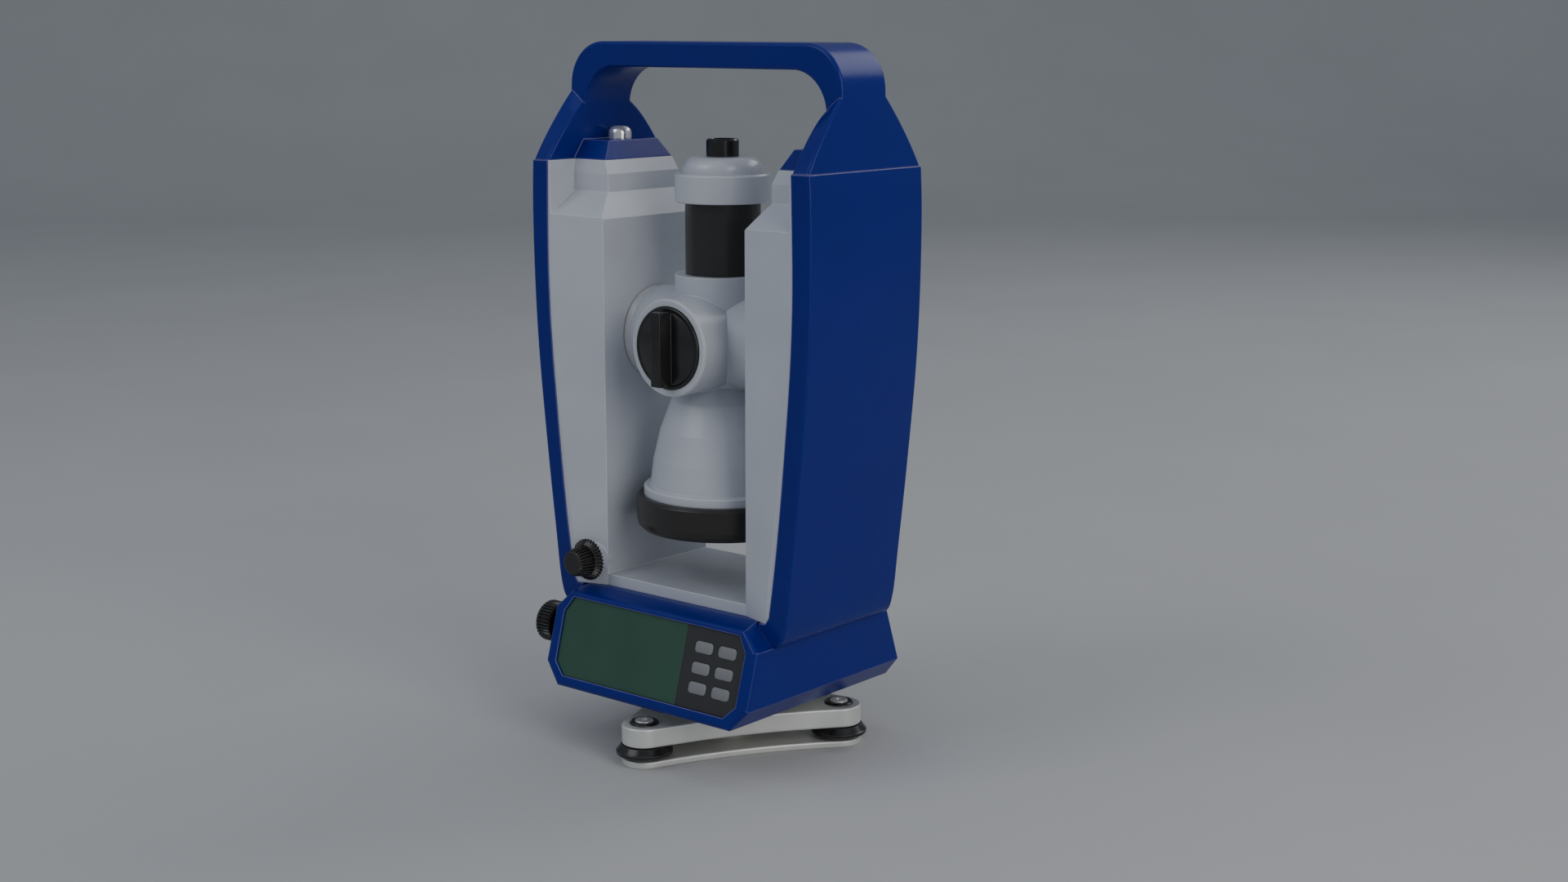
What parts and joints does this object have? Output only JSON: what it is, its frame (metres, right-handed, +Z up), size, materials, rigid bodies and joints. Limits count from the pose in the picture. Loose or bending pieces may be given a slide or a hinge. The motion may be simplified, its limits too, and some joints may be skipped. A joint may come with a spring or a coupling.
{
  "type": "surveying total station",
  "caption": "Electronic theodolite: telescope tilting between the standards of a turning yoke, with carrying handle, display and keypad housing, clamp and tangent knobs, and a levelling base.",
  "frame": {"origin": "centre of the foot plate's underside, on the vertical axis, at the mouth of the tripod screw thread", "axes": "+Z up along the vertical axis, -Y towards the display side, +X to the display side's right, parallel to the tilting axis"},
  "size_m": [0.175, 0.1298, 0.34],
  "materials": {
    "anodised_aluminium": "satin",
    "machined_steel": "satin",
    "polished_steel": "polished",
    "brass": "satin",
    "blue_casting": "gloss",
    "blue_plastic": "gloss",
    "white_casting": "gloss",
    "white_plastic": "gloss",
    "black_plastic": "satin",
    "black_aluminium": "satin",
    "black_rubber": "matte",
    "display_green": "satin",
    "keypad_grey": "matte",
    "key_grey": "satin",
    "lens_glass": "polished",
    "circuit_board": "satin",
    "battery_case": "matte"
  },
  "bodies": {
    "tribrach": {"tribrach_base_plate": "anodised_aluminium", "tripod_thread_bush": "anodised_aluminium", "ball_retainers": "machined_steel", "tribrach_body": "anodised_aluminium", "levelling_screw_bushes": "black_plastic", "axis_sleeve": "machined_steel", "horizontal_circle": "lens_glass"},
    "foot_screw_1": {"foot_spindle_1": "machined_steel", "foot_wheel_1": "black_plastic"},
    "foot_screw_2": {"foot_spindle_2": "machined_steel", "foot_wheel_2": "black_plastic"},
    "foot_screw_3": {"foot_spindle_3": "machined_steel", "foot_wheel_3": "black_plastic"},
    "alidade": {"axis_spindle": "machined_steel", "base_housing": "blue_casting", "bottom_cover": "anodised_aluminium", "bottom_cover_screws": "machined_steel", "display_window": "display_green", "display_module": "black_plastic", "keypad_panel": "keypad_grey", "key_board": "circuit_board", "main_board": "circuit_board", "yoke_frame": "white_casting", "left_cover": "blue_plastic", "right_cover": "blue_plastic", "handle": "blue_plastic", "handle_screws": "polished_steel", "trunnion_bearings": "brass", "horizontal_read_head": "black_plastic", "vertical_read_head": "black_plastic", "battery_pack": "battery_case"},
    "key_1": {"key_1": "key_grey"},
    "key_2": {"key_2": "key_grey"},
    "key_3": {"key_3": "key_grey"},
    "key_4": {"key_4": "key_grey"},
    "key_5": {"key_5": "key_grey"},
    "key_6": {"key_6": "key_grey"},
    "vertical_clamp": {"vertical_clamp_knob": "black_plastic"},
    "vertical_tangent": {"vertical_tangent_knob": "black_plastic", "vertical_tangent_shaft": "machined_steel"},
    "horizontal_clamp": {"horizontal_clamp_knob": "black_plastic"},
    "horizontal_tangent": {"horizontal_tangent_knob": "black_plastic", "horizontal_tangent_shaft": "machined_steel"},
    "telescope": {"telescope_body": "white_casting", "arm_rings": "polished_steel", "trunnion_shafts": "machined_steel", "vertical_circle": "lens_glass", "objective_ring": "black_rubber", "objective_lens": "lens_glass", "barrel_tube": "black_aluminium", "reticle": "lens_glass", "eyepiece_collar": "white_plastic", "eyepiece_dome": "white_plastic"},
    "diopter": {"eyepiece_ring": "black_plastic", "eyepiece_lens": "lens_glass"},
    "focus_knob": {"focus_knob": "black_plastic", "focus_shaft": "machined_steel"},
    "focus_lens_cell": {"focus_cell": "brass", "focus_lens": "lens_glass"}
  },
  "joints": [
    {"name": "horizontal_axis_turn", "type": "hinge", "parent": "tribrach", "child": "alidade", "pos_m": [0, 0, 0.03], "axis": [0, 0, 1], "continuous": true},
    {"name": "telescope_tilt", "type": "hinge", "parent": "alidade", "child": "telescope", "pos_m": [0, 0, 0.199], "axis": [1, 0, 0], "continuous": true},
    {"name": "foot_screw_1_turn", "type": "hinge", "parent": "tribrach", "child": "foot_screw_1", "pos_m": [-0.0015, -0.05718, 0.008], "axis": [0, 0, 1], "range_deg": [-1080, 1080]},
    {"name": "foot_screw_2_turn", "type": "hinge", "parent": "tribrach", "child": "foot_screw_2", "pos_m": [0.05027, 0.02729, 0.008], "axis": [0, 0, 1], "range_deg": [-1080, 1080]},
    {"name": "foot_screw_3_turn", "type": "hinge", "parent": "tribrach", "child": "foot_screw_3", "pos_m": [-0.04877, 0.02989, 0.008], "axis": [0, 0, 1], "range_deg": [-1080, 1080]},
    {"name": "key_1_press", "type": "slide", "parent": "alidade", "child": "key_1", "axis": [0, 0.9617, -0.2741], "range_m": [0, 0.0006], "stiffness_N_per_m": 900, "springref_m": -0.0004},
    {"name": "key_2_press", "type": "slide", "parent": "alidade", "child": "key_2", "axis": [0, 0.9617, -0.2741], "range_m": [0, 0.0006], "stiffness_N_per_m": 900, "springref_m": -0.0004},
    {"name": "key_3_press", "type": "slide", "parent": "alidade", "child": "key_3", "axis": [0, 0.9617, -0.2741], "range_m": [0, 0.0006], "stiffness_N_per_m": 900, "springref_m": -0.0004},
    {"name": "key_4_press", "type": "slide", "parent": "alidade", "child": "key_4", "axis": [0, 0.9617, -0.2741], "range_m": [0, 0.0006], "stiffness_N_per_m": 900, "springref_m": -0.0004},
    {"name": "key_5_press", "type": "slide", "parent": "alidade", "child": "key_5", "axis": [0, 0.9617, -0.2741], "range_m": [0, 0.0006], "stiffness_N_per_m": 900, "springref_m": -0.0004},
    {"name": "key_6_press", "type": "slide", "parent": "alidade", "child": "key_6", "axis": [0, 0.9617, -0.2741], "range_m": [0, 0.0006], "stiffness_N_per_m": 900, "springref_m": -0.0004},
    {"name": "vertical_clamp_turn", "type": "hinge", "parent": "alidade", "child": "vertical_clamp", "pos_m": [-0.0524, -0.042, 0.0893], "axis": [0, -1, 0], "range_deg": [0, 120]},
    {"name": "vertical_tangent_turn", "type": "hinge", "parent": "alidade", "child": "vertical_tangent", "pos_m": [-0.0524, -0.048, 0.0893], "axis": [0, -1, 0], "range_deg": [-1800, 1800]},
    {"name": "horizontal_clamp_turn", "type": "hinge", "parent": "alidade", "child": "horizontal_clamp", "pos_m": [-0.069, -0.0407, 0.0531], "axis": [-1, 0, 0], "range_deg": [0, 120]},
    {"name": "horizontal_tangent_turn", "type": "hinge", "parent": "alidade", "child": "horizontal_tangent", "pos_m": [-0.077, -0.0407, 0.0531], "axis": [-1, 0, 0], "range_deg": [-1800, 1800]},
    {"name": "diopter_turn", "type": "hinge", "parent": "telescope", "child": "diopter", "pos_m": [0, 0, 0.288], "axis": [0, 0, 1], "range_deg": [-150, 150]},
    {"name": "focus_turn", "type": "hinge", "parent": "telescope", "child": "focus_knob", "pos_m": [0, -0.04, 0.199], "axis": [0, -1, 0], "range_deg": [-120, 120]},
    {"name": "focus_slide", "type": "slide", "parent": "telescope", "child": "focus_lens_cell", "axis": [0, 0, 1], "range_m": [-0.00837, 0.00837]}
  ],
  "couplings": [
    {"joint": "focus_turn", "follows": "focus_slide", "rad_per_m": 250}
  ]
}
